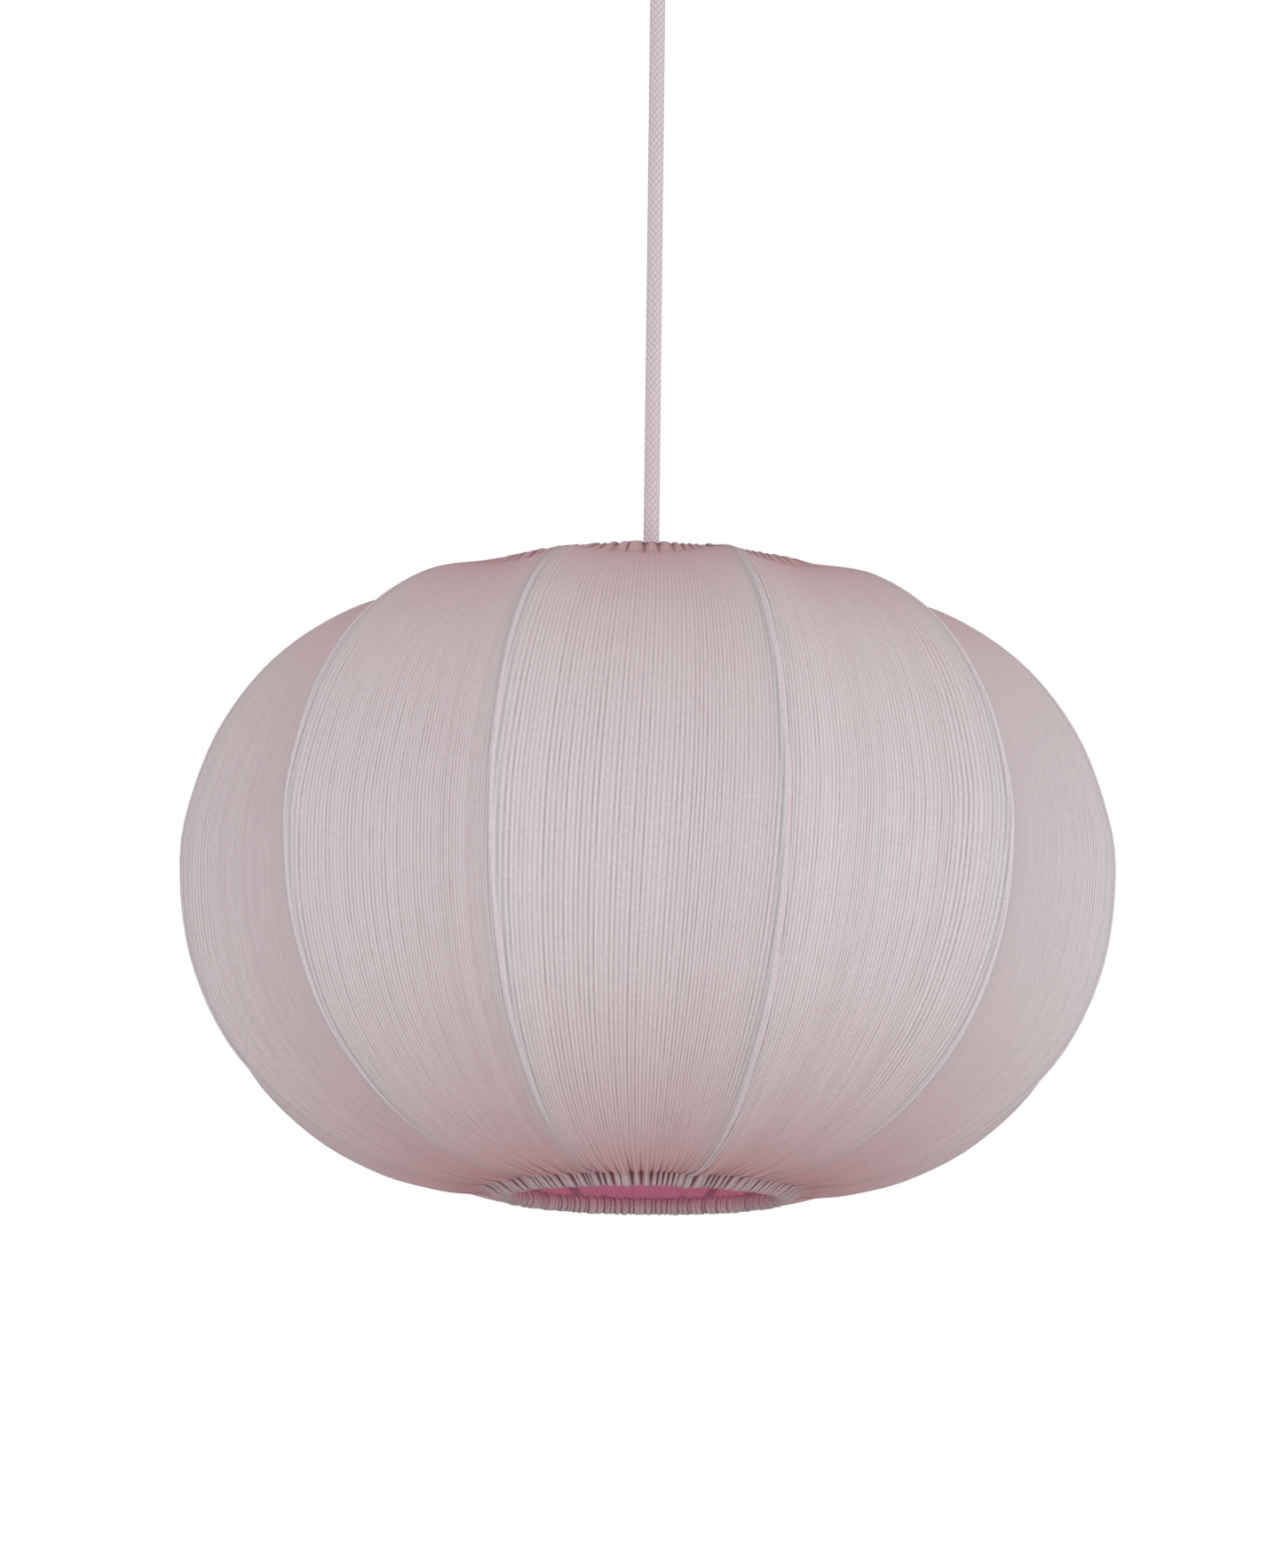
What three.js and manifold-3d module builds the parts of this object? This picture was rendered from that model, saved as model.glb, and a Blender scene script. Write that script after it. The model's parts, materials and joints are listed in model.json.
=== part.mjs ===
// Pendant lamp: a round fabric shade gathered over a twelve-rib wire frame, on a textile cable that
// hangs from a ceiling hook. Millimetres, +Z up. The origin is the centre of the ceiling plate's flat
// top, where the lamp meets the ceiling, and the cable runs down the Z axis. -Y is the front.
import * as THREE from 'three';
import { mergeVertices } from 'three/addons/utils/BufferGeometryUtils.js';
import Module from 'manifold-3d';

const wasm = await Module();
wasm.setup();

// ---- Driving dimensions -------------------------------------------------------------------------
const GAP = 0.3;                 // clearance between pieces that touch on the real lamp
const EQUATOR_Z = -510;          // height of the shade's widest circle
const RIB_COUNT = 12;
const FIRST_RIB = 15;            // degrees from the front towards +X
const OFF_RIB = 11;              // index of the one rib that is welded a little off its even place
const OFF_RIB_SHIFT = -2.2;      // degrees
const RIB_WIRE_R = 1.5;
const RIB_INSET = 4.3;           // rib centre line below the fabric's outer ridge
const RING_WIRE_R = 1.75;
const TOP_RING = { r: 85.5, z: 126.5 };       // heights are from the equator
const BOTTOM_RING = { r: 59, z: -128.5 };
const FABRIC = 1.0;              // thickness of the cover's solid
const HEM_R = 2.75;              // middle of the fabric wrapped round a ring wire
const PANEL_DIP = 8;             // how far a panel sinks below its chord at the equator
const SHADE_R = 200;
const CORD_R = 3.4;
const CORD_BORE_R = CORD_R + GAP;

// Outline of the cover over a rib, from the top ring to the bottom ring: radius, height.
const OUTLINE = [
  [92, 127.4], [128.5, 116], [161.5, 92.5], [184.5, 61], [197, 26], [200, -2],
  [194, -40], [176.5, -75], [148, -102], [118, -118.3], [92, -125.8], [76, -127.8], [66, -126.8],
];

const HUB = { hole: 20.4, r: 29, thick: 1.6, z: 99 };
const ARM_COUNT = 3;
const ARM_WIRE_R = 1.5;
const BULB_R = 30;

const PLATE = { r: 30, thick: 3 };
const HOOK = { wire: 2, bend: 7, bottom: -24 };
const HANGER = { hole: 4.2, head: 8.5, halfWidth: 6, bottom: -48, thick: 5 };
const CORD_TOP = HANGER.bottom - 2 * GAP;
const CUP = { r: 50, rim: -8, bottom: -66, wall: 1.5, hole: 5.4 };
const GRIP_BOTTOM = -84;

// ---- Materials ----------------------------------------------------------------------------------
const material = (color, roughness, metalness = 0) =>
  new THREE.MeshStandardMaterial({ color, roughness, metalness });
const fabric = material(0xcdb9ba, 0.95);
const cable = material(0xccc2c6, 0.9);
const wire = material(0xe8e6e2, 0.45, 0.3);
const whitePlastic = material(0xe6e3df, 0.4);
const steel = material(0xb9bcc0, 0.35, 0.9);
const brass = material(0xb8935a, 0.35, 0.9);
const ceramic = material(0xf0ede6, 0.5);
const glass = material(0xf6f4ef, 0.3);
const black = material(0x1c1c1e, 0.5);

const lamp = new THREE.Group();
const shadeGroup = new THREE.Group();          // everything whose height is given from the equator
shadeGroup.position.z = EQUATOR_Z;
lamp.add(shadeGroup);

// ---- Helpers ------------------------------------------------------------------------------------
function add(parent, name, geometry, mat, place = [0, 0, 0], turn = [0, 0, 0]) {
  const mesh = new THREE.Mesh(outward(geometry), mat);
  mesh.name = name;
  mesh.position.set(...place);
  mesh.rotation.set(...turn);
  parent.add(mesh);
  return mesh;
}

// Keeps only positions, joins shared vertices and turns the faces outward.
function outward(source) {
  const bare = source.clone();
  bare.deleteAttribute('normal');
  bare.deleteAttribute('uv');
  bare.clearGroups();
  const geometry = mergeVertices(bare, 1e-3);
  const p = geometry.attributes.position;
  const index = Array.from(geometry.index.array);
  const [a, b, c] = [new THREE.Vector3(), new THREE.Vector3(), new THREE.Vector3()];
  const kept = [];
  let volume = 0;
  for (let i = 0; i < index.length; i += 3) {
    const [i0, i1, i2] = index.slice(i, i + 3);
    if (i0 === i1 || i1 === i2 || i0 === i2) continue;
    kept.push(i0, i1, i2);
    a.fromBufferAttribute(p, i0);
    b.fromBufferAttribute(p, i1);
    c.fromBufferAttribute(p, i2);
    volume += a.dot(b.cross(c));
  }
  if (volume < 0) {
    for (let i = 0; i < kept.length; i += 3) [kept[i + 1], kept[i + 2]] = [kept[i + 2], kept[i + 1]];
  }
  geometry.setIndex(kept);
  return geometry;
}

// A solid of revolution about Z from [radius, height] points. The profile closes on itself.
function turned(profile, segments = 24) {
  const points = [...profile, profile[0]].map(([r, z]) => new THREE.Vector2(r, z));
  return new THREE.LatheGeometry(points, segments).rotateX(Math.PI / 2);
}

const cylinder = (r, length, segments = 20) =>
  new THREE.CylinderGeometry(r, r, length, segments).rotateX(Math.PI / 2);

// A round wire or cable along a smooth curve through the points.
function rod(points, r, steps, sides = 6) {
  const path = new THREE.CatmullRomCurve3(points.map((q) => new THREE.Vector3(...q)));
  const section = new THREE.Shape();
  for (let i = 0; i < sides; i++) {
    const t = (2 * Math.PI * i) / sides;
    section[i ? 'lineTo' : 'moveTo'](r * Math.cos(t), r * Math.sin(t));
  }
  section.closePath();
  return new THREE.ExtrudeGeometry(section, { steps, extrudePath: path, bevelEnabled: false });
}

const ring = (r, wireR, segments, sides = 6) => new THREE.TorusGeometry(r, wireR, sides, segments);

function solid(geometry) {
  const g = outward(geometry);
  return new wasm.Manifold(new wasm.Mesh({
    numProp: 3,
    vertProperties: new Float32Array(g.attributes.position.array),
    triVerts: new Uint32Array(g.index.array),
  }));
}

function shapeOf(manifold) {
  const mesh = manifold.getMesh();
  const geometry = new THREE.BufferGeometry();
  geometry.setAttribute('position', new THREE.BufferAttribute(mesh.vertProperties, 3));
  geometry.setIndex(new THREE.BufferAttribute(mesh.triVerts, 1));
  return geometry;
}

const cut = (body, tool) => shapeOf(solid(body).subtract(solid(tool)));

const radians = THREE.MathUtils.degToRad;

// A point at an azimuth (degrees from the front towards +X), radius and height.
const polar = (azimuth, r, z) => [r * Math.sin(radians(azimuth)), -r * Math.cos(radians(azimuth)), z];

const ribAzimuth = (i) => FIRST_RIB + (360 / RIB_COUNT) * i + (i === OFF_RIB ? OFF_RIB_SHIFT : 0);

// ---- Wire frame ---------------------------------------------------------------------------------
const outline = new THREE.SplineCurve(OUTLINE.map(([r, z]) => new THREE.Vector2(r, z)));

// Point of the outline moved inward, square to it, by depth.
function inset(t, depth) {
  const p = outline.getPointAt(t);
  const dir = outline.getTangentAt(t);
  return [p.x + dir.y * depth, p.y - dir.x * depth];
}

function makeFrame() {
  add(shadeGroup, 'top_ring', ring(TOP_RING.r, RING_WIRE_R, 48), wire, [0, 0, TOP_RING.z]);
  add(shadeGroup, 'bottom_ring', ring(BOTTOM_RING.r, RING_WIRE_R, 36), wire, [0, 0, BOTTOM_RING.z]);
  const stations = 10;
  for (let i = 0; i < RIB_COUNT; i++) {
    const points = [];
    for (let k = 0; k <= stations; k++) {
      const [r, z] = inset(k / stations, RIB_INSET);
      points.push(polar(ribAzimuth(i), r, z));
    }
    const name = `rib_${String(i + 1).padStart(2, '0')}`;
    add(shadeGroup, name, rod(points, RIB_WIRE_R, 14), wire);
  }
  const hubWasher = [
    [HUB.hole, HUB.z - HUB.thick / 2], [HUB.r, HUB.z - HUB.thick / 2],
    [HUB.r, HUB.z + HUB.thick / 2], [HUB.hole, HUB.z + HUB.thick / 2],
  ];
  add(shadeGroup, 'hub_plate', turned(hubWasher, 32), wire);
  const armTop = TOP_RING.z - RING_WIRE_R - GAP - ARM_WIRE_R;
  for (let i = 0; i < ARM_COUNT; i++) {
    const azimuth = (360 / ARM_COUNT) * i;
    const arm = [[TOP_RING.r, armTop], [72, armTop - 2], [48, HUB.z + 4], [37, HUB.z], [HUB.r + GAP, HUB.z]]
      .map(([r, z]) => polar(azimuth, r, z));
    add(shadeGroup, `spider_arm_${i + 1}`, rod(arm, ARM_WIRE_R, 10), wire);
  }
}

// ---- Fabric cover -------------------------------------------------------------------------------
// Middle line of the cloth: round the top ring, down over the rib and round the bottom ring. The
// third number says how much a panel sinks between two ribs there, as a share of its full dip.
function clothLine() {
  const round = (centre, degrees) => [
    centre.r + HEM_R * Math.cos(radians(degrees)), centre.z + HEM_R * Math.sin(radians(degrees)), 0,
  ];
  const line = [180, 135, 90, 50].map((d) => round(TOP_RING, d));
  const steps = 13;
  for (let k = 0; k <= steps; k++) {
    const t = k / steps;
    const [r, z] = inset(t, FABRIC / 2);
    const ease = THREE.MathUtils.smoothstep(Math.min(t, 1 - t), 0, 0.1);
    line.push([r, z, ease]);
  }
  line.push(...[40, 0, -45, -90, -135, -180].map((d) => round(BOTTOM_RING, d)));
  return line;
}

// One closed shell, open at the top and the bottom ring, with a ridge over each rib.
function makeCover() {
  const line = clothLine();
  const perPanel = 4;
  const around = RIB_COUNT * perPanel;
  const normals = line.map((_, k) => {
    const [r0, z0] = line[Math.max(k - 1, 0)];
    const [r1, z1] = line[Math.min(k + 1, line.length - 1)];
    const length = Math.hypot(r1 - r0, z1 - z0);
    return [(z1 - z0) / length, -(r1 - r0) / length];
  });
  const loop = [
    ...line.map((_, k) => [k, -FABRIC / 2]),
    ...line.map((_, k) => [line.length - 1 - k, FABRIC / 2]),
  ];
  const positions = [];
  for (let a = 0; a < around; a++) {
    const panel = Math.floor(a / perPanel);
    const across = (a % perPanel) / perPanel;
    const from = ribAzimuth(panel);
    const to = ribAzimuth(panel + 1 === RIB_COUNT ? 0 : panel + 1) + (panel + 1 === RIB_COUNT ? 360 : 0);
    const azimuth = from + (to - from) * across;
    const half = radians((to - from) / 2);
    const chord = Math.cos(half) / Math.cos(radians(azimuth - (from + to) / 2));
    for (const [k, offset] of loop) {
      const [r, z, share] = line[k];
      const [nr, nz] = normals[k];
      const sink = PANEL_DIP * (r / SHADE_R) ** 1.6 * 4 * across * (1 - across) * share + offset;
      const flat = 1 - (1 - chord) * share;
      positions.push(...polar(azimuth, r * flat + nr * sink, z + nz * sink));
    }
  }
  const n = loop.length;
  const index = [];
  for (let a = 0; a < around; a++) {
    const next = (a + 1) % around;
    for (let k = 0; k < n; k++) {
      const up = (k + 1) % n;
      index.push(a * n + k, next * n + k, next * n + up, a * n + k, next * n + up, a * n + up);
    }
  }
  const geometry = new THREE.BufferGeometry();
  geometry.setAttribute('position', new THREE.Float32BufferAttribute(positions, 3));
  geometry.setIndex(index);
  add(shadeGroup, 'fabric_cover', geometry, fabric);
}

// ---- Lamp holder --------------------------------------------------------------------------------
const CAP_BASE = HUB.z + HUB.thick / 2 + GAP;
const CAP_TOP = CAP_BASE + 31;
const HOLDER_GRIP_TOP = CAP_TOP + 12;
const BODY = { r: 19.7, bore: 15.6, top: CAP_BASE - 0.2, bottom: CAP_BASE - 39 };
const INSERT = { r: 15.2, top: BODY.top - 5, bottom: BODY.top - 9 };

function makeHolder() {
  const base = CAP_BASE;
  add(shadeGroup, 'holder_cap', turned([
    [20.2, base], [22.5, base], [22.5, base + 6], [21, base + 12], [16.5, base + 22], [10, base + 29.5],
    [7, CAP_TOP], [4.4, CAP_TOP], [4.4, base + 28.5], [8.6, base + 27.5], [14.6, base + 20.5],
    [19, base + 11], [20.2, base + 5.5],
  ]), whitePlastic);
  add(shadeGroup, 'holder_cord_grip', turned([
    [CORD_BORE_R, CAP_TOP + GAP], [7, CAP_TOP + GAP], [7, CAP_TOP + 6], [6, CAP_TOP + 7.5],
    [5.2, HOLDER_GRIP_TOP], [CORD_BORE_R, HOLDER_GRIP_TOP],
  ], 24), whitePlastic);
  add(shadeGroup, 'holder_body', turned([
    [BODY.bore, BODY.bottom], [BODY.r, BODY.bottom], [BODY.r, BODY.top], [6, BODY.top],
    [6, BODY.top - 3], [BODY.bore, BODY.top - 3],
  ]), whitePlastic);
  add(shadeGroup, 'holder_insert', turned([
    [0, INSERT.bottom], [INSERT.r, INSERT.bottom], [INSERT.r, INSERT.top], [0, INSERT.top],
  ], 24), ceramic);
  add(shadeGroup, 'threaded_shell', turned([
    [13.7, BODY.bottom + 5], [14.6, BODY.bottom + 5], [14.6, INSERT.bottom - GAP],
    [13.7, INSERT.bottom - GAP],
  ], 24), brass);
  add(shadeGroup, 'centre_contact', new THREE.BoxGeometry(4, 9, 0.8), brass, [0, 0, INSERT.bottom - GAP - 0.4]);
  const under = HUB.z - HUB.thick / 2 - GAP;
  add(shadeGroup, 'shade_ring', turned([
    [BODY.r + GAP, under - 7], [23, under - 7], [24, under - 4], [27.5, under - 2.5], [27.5, under],
    [BODY.r + GAP, under],
  ], 32), whitePlastic);
}

// ---- Light bulb ---------------------------------------------------------------------------------
const TIP_TOP = INSERT.bottom - GAP - 0.8 - GAP;

function makeBulb() {
  const capTop = TIP_TOP - 5.5;
  const capBottom = capTop - 22;
  add(shadeGroup, 'bulb_tip_contact', cylinder(4, 2, 18), steel, [0, 0, TIP_TOP - 1]);
  add(shadeGroup, 'bulb_tip_insulator', turned([
    [0, capTop + GAP], [10, capTop + GAP], [4.5, TIP_TOP - 2 - GAP], [0, TIP_TOP - 2 - GAP],
  ], 20), black);
  const thread = [];
  const crests = 5;
  for (let i = 0; i < crests; i++) {
    const z = capBottom + 1 + (i * 20) / crests;
    thread.push([12.2, z], [13.2, z + 2]);
  }
  add(shadeGroup, 'bulb_screw_cap', turned([
    [0, capBottom], [12.4, capBottom], ...thread, [10.8, capTop], [0, capTop],
  ], 24), steel);
  const neckTop = capBottom - GAP;
  const neckBottom = neckTop - 22;
  add(shadeGroup, 'bulb_housing', turned([
    [0, neckBottom], [27, neckBottom], [24, neckBottom + 6], [17, neckTop - 5], [13.2, neckTop], [0, neckTop],
  ]), whitePlastic);
  const globeTop = neckBottom - GAP;
  const middle = globeTop - 22;
  const wall = 1.4;
  const outer = [[27, globeTop], [29.3, globeTop - 10]];
  const inner = [[27 - wall, globeTop], [29.3 - wall, globeTop - 10]];
  const steps = 5;
  for (let i = 0; i <= steps; i++) {
    const t = (Math.PI / 2) * (i / steps);
    outer.push([BULB_R * Math.cos(t), middle - BULB_R * Math.sin(t)]);
    inner.push([(BULB_R - wall) * Math.cos(t), middle - (BULB_R - wall) * Math.sin(t)]);
  }
  add(shadeGroup, 'bulb_globe', turned([...outer, ...inner.reverse()]), glass);
}

// ---- Cord ---------------------------------------------------------------------------------------
function makeCord() {
  const low = EQUATOR_Z + CAP_TOP + 2;
  const points = [];
  const steps = 4;
  for (let i = 0; i <= steps; i++) points.push([0, 0, low + ((CORD_TOP - low) * i) / steps]);
  add(lamp, 'cord', rod(points, CORD_R, 20, 10), cable);
}

// ---- Ceiling fitting ----------------------------------------------------------------------------
function makeCeilingPlate() {
  const disc = new THREE.Shape().absarc(0, 0, PLATE.r, 0, 2 * Math.PI);
  for (const side of [-1, 1]) {
    const slot = new THREE.Path();
    slot.absarc(side * 19, 3, 2.2, 0, Math.PI);
    slot.absarc(side * 19, -3, 2.2, Math.PI, 2 * Math.PI);
    slot.closePath();
    disc.holes.push(slot);
  }
  const plate = new THREE.ExtrudeGeometry(disc, { depth: PLATE.thick, bevelEnabled: false, curveSegments: 8 });
  add(lamp, 'ceiling_plate', plate, steel, [0, 0, -PLATE.thick]);
}

function makeHook() {
  const { bend, bottom, wire: wireR } = HOOK;
  const centre = bottom + bend;
  const points = [[-bend, 0, -PLATE.thick - GAP], [-bend, 0, centre + 5]];
  const steps = 6;
  for (let i = 0; i <= steps; i++) {
    const t = Math.PI * (1 + i / steps);
    points.push([bend * Math.cos(t), 0, centre + bend * Math.sin(t)]);
  }
  points.push([bend, 0, centre + 4]);
  add(lamp, 'ceiling_hook', rod(points, wireR, 24, 8), steel);
}

function makeHanger() {
  const centre = HOOK.bottom + HOOK.wire + GAP + 0.5 - HANGER.hole;
  const outlineShape = new THREE.Shape();
  const side = Math.asin(HANGER.halfWidth / HANGER.head);
  outlineShape.moveTo(-HANGER.halfWidth, HANGER.bottom);
  outlineShape.lineTo(HANGER.halfWidth, HANGER.bottom);
  outlineShape.absarc(0, centre, HANGER.head, -Math.PI / 2 + side, (3 * Math.PI) / 2 - side);
  outlineShape.closePath();
  outlineShape.holes.push(new THREE.Path().absarc(0, centre, HANGER.hole, 0, 2 * Math.PI));
  const flat = new THREE.ExtrudeGeometry(outlineShape, {
    depth: HANGER.thick, bevelEnabled: false, curveSegments: 10,
  }).translate(0, 0, -HANGER.thick / 2);
  add(lamp, 'cord_hanger', flat, whitePlastic, [0, 0, 0], [Math.PI / 2, Math.PI / 2, 0]);
}

function makeTerminalBlock() {
  const size = { x: 12, y: 20, z: 13 };
  const place = [22, 0, -PLATE.thick - GAP - size.z / 2];
  const wireWay = new THREE.CylinderGeometry(1.8, 1.8, size.x + 2, 10).rotateZ(Math.PI / 2);
  let block = new THREE.BoxGeometry(size.x, size.y, size.z);
  for (const y of [-5, 5]) {
    block = cut(block, wireWay.clone().translate(0, y, -1));
  }
  add(lamp, 'terminal_block', block, whitePlastic, place);
  for (const [i, y] of [-5, 5].entries()) {
    const low = place[2] - size.z / 2 - GAP;
    add(lamp, `terminal_screw_${i + 1}`, cylinder(1.8, 1.4, 12), brass, [place[0], y, low - 0.7]);
  }
}

function makeCup() {
  const { r, rim, bottom, wall, hole } = CUP;
  const shoulder = 14;
  const outer = [[r, rim]];
  const inner = [[r - wall, rim]];
  const steps = 6;
  for (let i = 0; i <= steps; i++) {
    const t = (Math.PI / 2) * (i / steps);
    const x = r - shoulder + shoulder * Math.cos(t);
    const z = bottom + shoulder - shoulder * Math.sin(t);
    outer.push([x, z]);
    inner.push([r - shoulder + (shoulder - wall) * Math.cos(t), bottom + shoulder - (shoulder - wall) * Math.sin(t)]);
  }
  outer.push([hole, bottom]);
  inner.push([hole, bottom + wall]);
  add(lamp, 'ceiling_cup', turned([...outer, ...inner.reverse()], 28), whitePlastic);
  const collarTop = bottom - GAP;
  const screwZ = collarTop - 7;
  const screwR = 1.5;
  const collar = turned([
    [CORD_BORE_R, GRIP_BOTTOM], [5.6, GRIP_BOTTOM], [8, GRIP_BOTTOM + 5], [8, collarTop], [5.1, collarTop],
    [5.1, bottom + 9], [CORD_BORE_R, bottom + 9],
  ], 24);
  const screwHole = new THREE.CylinderGeometry(screwR + 0.4, screwR + 0.4, 8, 12).rotateZ(Math.PI / 2);
  add(lamp, 'cup_cord_grip', cut(collar, screwHole.translate(8, 0, screwZ)), whitePlastic);
  const nutBase = bottom + wall + GAP;
  const hexagon = new THREE.Shape();
  for (let i = 0; i < 6; i++) {
    const t = (Math.PI / 3) * i;
    hexagon[i ? 'lineTo' : 'moveTo'](9 * Math.cos(t), 9 * Math.sin(t));
  }
  hexagon.closePath();
  hexagon.holes.push(new THREE.Path().absarc(0, 0, 5.5, 0, 2 * Math.PI));
  const nut = new THREE.ExtrudeGeometry(hexagon, { depth: 5, bevelEnabled: false, curveSegments: 12 });
  add(lamp, 'cup_grip_nut', nut, whitePlastic, [0, 0, nutBase]);
  const screw = new THREE.CylinderGeometry(screwR, screwR, 5.2, 12).rotateZ(Math.PI / 2);
  const slot = new THREE.BoxGeometry(1.6, 0.5, 4).translate(2.4, 0, 0);
  add(lamp, 'cup_grip_screw', cut(screw, slot), steel, [6.9, 0, screwZ]);
}

makeFrame();
makeCover();
makeHolder();
makeBulb();
makeCord();
makeCeilingPlate();
makeHook();
makeHanger();
makeTerminalBlock();
makeCup();

export default lamp;
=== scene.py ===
import json
import math

import bmesh
import bpy
import numpy as np
from mathutils import Matrix, Vector

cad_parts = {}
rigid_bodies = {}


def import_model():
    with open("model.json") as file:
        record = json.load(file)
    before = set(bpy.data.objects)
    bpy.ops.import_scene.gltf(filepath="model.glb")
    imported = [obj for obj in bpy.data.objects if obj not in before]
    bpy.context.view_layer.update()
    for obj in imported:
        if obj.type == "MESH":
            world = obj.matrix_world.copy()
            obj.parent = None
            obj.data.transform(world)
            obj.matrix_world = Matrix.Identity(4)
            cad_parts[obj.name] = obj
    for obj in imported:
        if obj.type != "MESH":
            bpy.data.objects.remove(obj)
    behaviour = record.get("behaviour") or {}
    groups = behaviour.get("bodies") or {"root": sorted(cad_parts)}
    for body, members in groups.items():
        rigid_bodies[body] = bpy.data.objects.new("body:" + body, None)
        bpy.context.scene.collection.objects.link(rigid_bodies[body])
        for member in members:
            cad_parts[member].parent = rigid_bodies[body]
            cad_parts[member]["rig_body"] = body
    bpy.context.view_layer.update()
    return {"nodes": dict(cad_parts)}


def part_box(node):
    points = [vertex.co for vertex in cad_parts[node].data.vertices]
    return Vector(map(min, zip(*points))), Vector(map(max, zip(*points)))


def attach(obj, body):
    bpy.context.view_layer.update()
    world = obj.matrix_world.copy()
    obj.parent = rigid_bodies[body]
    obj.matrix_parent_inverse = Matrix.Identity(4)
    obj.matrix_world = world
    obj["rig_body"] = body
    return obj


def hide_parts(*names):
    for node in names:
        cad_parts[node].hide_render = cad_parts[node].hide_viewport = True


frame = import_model()

# A pendant lamp: a pink cloth shade gathered over a twelve-rib wire frame. It hangs on a textile cable
# from a ceiling hook under a cup. Metres, +Z up, -Y is the front, and the origin is on the ceiling.

# ---- Driving dimensions -------------------------------------------------------------------------
MM = 0.001
CORD_R = 3.4 * MM
RING_WIRE_R = 1.75 * MM
RIB_WIRE_R = 1.5 * MM
RIB_DEPTH = 2.5 * MM             # rib centre line below the cover's outline
CLOTH_DEPTH = 0.5 * MM           # middle of the cloth below the cover's outline
HEM_R = 2.75 * MM                # middle of the cloth wrapped round a ring wire
PANEL_DIP = 8 * MM               # how far a panel sinks below its chord at the equator
RIDGE = 0.45 * MM                # how far the cloth's bend over a rib is rounded
TWIST = 1                        # gathers that the threads lean by, from the top ring to the bottom one
GATHERS_PER_PANEL = 12
GATHER_COLUMNS = (0, 0.13, 0.29, 0.5, 0.71, 0.87)    # where the columns of points lie across a gather
CORDS_PER_GATHER = 5             # fine raised cords woven into the cloth, per gather
CROWDING = 0.72                  # how far the columns of a panel crowd towards its ribs, from 0 to 1
SEAM_LAP = (0.5 * MM, 1.3 * MM, 2.1 * MM, 2.7 * MM)    # the lap's columns, past the cloth's first edge
LAP_LIFT = 0.4 * MM              # height of the lap above the cloth under it
TOP_RING_HEIGHT = 126.5 * MM     # above the equator

# Centre line of a spider arm, from under the top ring to the hub: radius and height above the equator,
# in millimetres.
ARM_LINE = [(85.5, 123.4), (82, 123), (72, 121), (48, 103), (37, 99), (30.6, 99), (28.2, 99)]

# Outline of the cover over a rib, from the top ring to the bottom ring: radius and height above the
# equator, in millimetres.
OUTLINE = [
    (92, 127.4), (128.5, 116), (161.5, 92.5), (184.5, 61), (197, 26), (200, -2),
    (194, -40), (176.5, -75), (148, -102), (118, -118.3), (92, -125.8), (76, -127.8), (66, -126.8),
]


def vertices(node):
    """A CAD node's vertices, as rows of x, y, z."""
    mesh = frame["nodes"][node].data
    flat = np.empty(len(mesh.vertices) * 3)
    mesh.vertices.foreach_get("co", flat)
    return flat.reshape(-1, 3)


def foot_and_height(node):
    """A CAD node's lowest point in metres, and its height in millimetres."""
    low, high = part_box(node)
    return low.z, (high.z - low.z) / MM


def ring_of(node):
    """A ring wire's radius at its centre line, and its height."""
    low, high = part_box(node)
    return (high.x - low.x) / 2 - RING_WIRE_R, (high.z + low.z) / 2


RIB_NODES = sorted(n for n in frame["nodes"] if n.startswith("rib_"))
ARM_NODES = sorted(n for n in frame["nodes"] if n.startswith("spider_arm_"))
TOP_RING = ring_of("top_ring")
BOTTOM_RING = ring_of("bottom_ring")
EQUATOR_Z = TOP_RING[1] - TOP_RING_HEIGHT
GATHERS = GATHERS_PER_PANEL * len(RIB_NODES)


def azimuth_of(node):
    """A rib's or an arm's angle from the front towards +X."""
    x, y, _ = vertices(node).mean(axis=0)
    return math.atan2(x, -y) % (2 * math.pi)


def polar(azimuth, r, z):
    return np.stack([r * np.sin(azimuth), -r * np.cos(azimuth), z + 0 * azimuth], axis=-1)


# ---- Curves and meshes --------------------------------------------------------------------------
def smooth_line(points, distances=None, count=None):
    """A smooth curve through the points, at these distances along it or in even steps."""
    p = np.asarray(points, float)
    p = np.vstack([p[:1], p, p[-1:]])
    fine = []
    for i in range(len(p) - 3):
        p0, p1, p2, p3 = p[i:i + 4]
        t = np.linspace(0, 1, 40, endpoint=False)[:, None]
        v1 = (p2 - p0) / 2
        v2 = (p3 - p1) / 2
        cubic = 2 * p1 - 2 * p2 + v1 + v2
        square = 3 * p2 - 3 * p1 - 2 * v1 - v2
        fine.append(cubic * t**3 + square * t**2 + v1 * t + p1)
    fine = np.vstack([*fine, p[-1:]])
    run = np.append(0, np.linalg.norm(np.diff(fine, axis=0), axis=1).cumsum())
    if distances is None:
        distances = np.linspace(0, run[-1], count)
    return np.stack([np.interp(distances, run, column) for column in fine.T], axis=1)


def line_length(points):
    return float(np.linalg.norm(np.diff(points, axis=0), axis=1).sum())


def headings(line):
    """The direction of a line at each of its points."""
    ahead = np.gradient(np.asarray(line, float), axis=0)
    return ahead / np.linalg.norm(ahead, axis=1, keepdims=True)


def outward_of(line):
    """The outward side of a line of radius and height that runs down the shade."""
    ahead = headings(line)
    return np.stack([-ahead[:, 1], ahead[:, 0]], axis=1)


def smooth_step(x, low, high):
    t = np.clip((x - low) / (high - low), 0, 1)
    return t * t * (3 - 2 * t)


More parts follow.
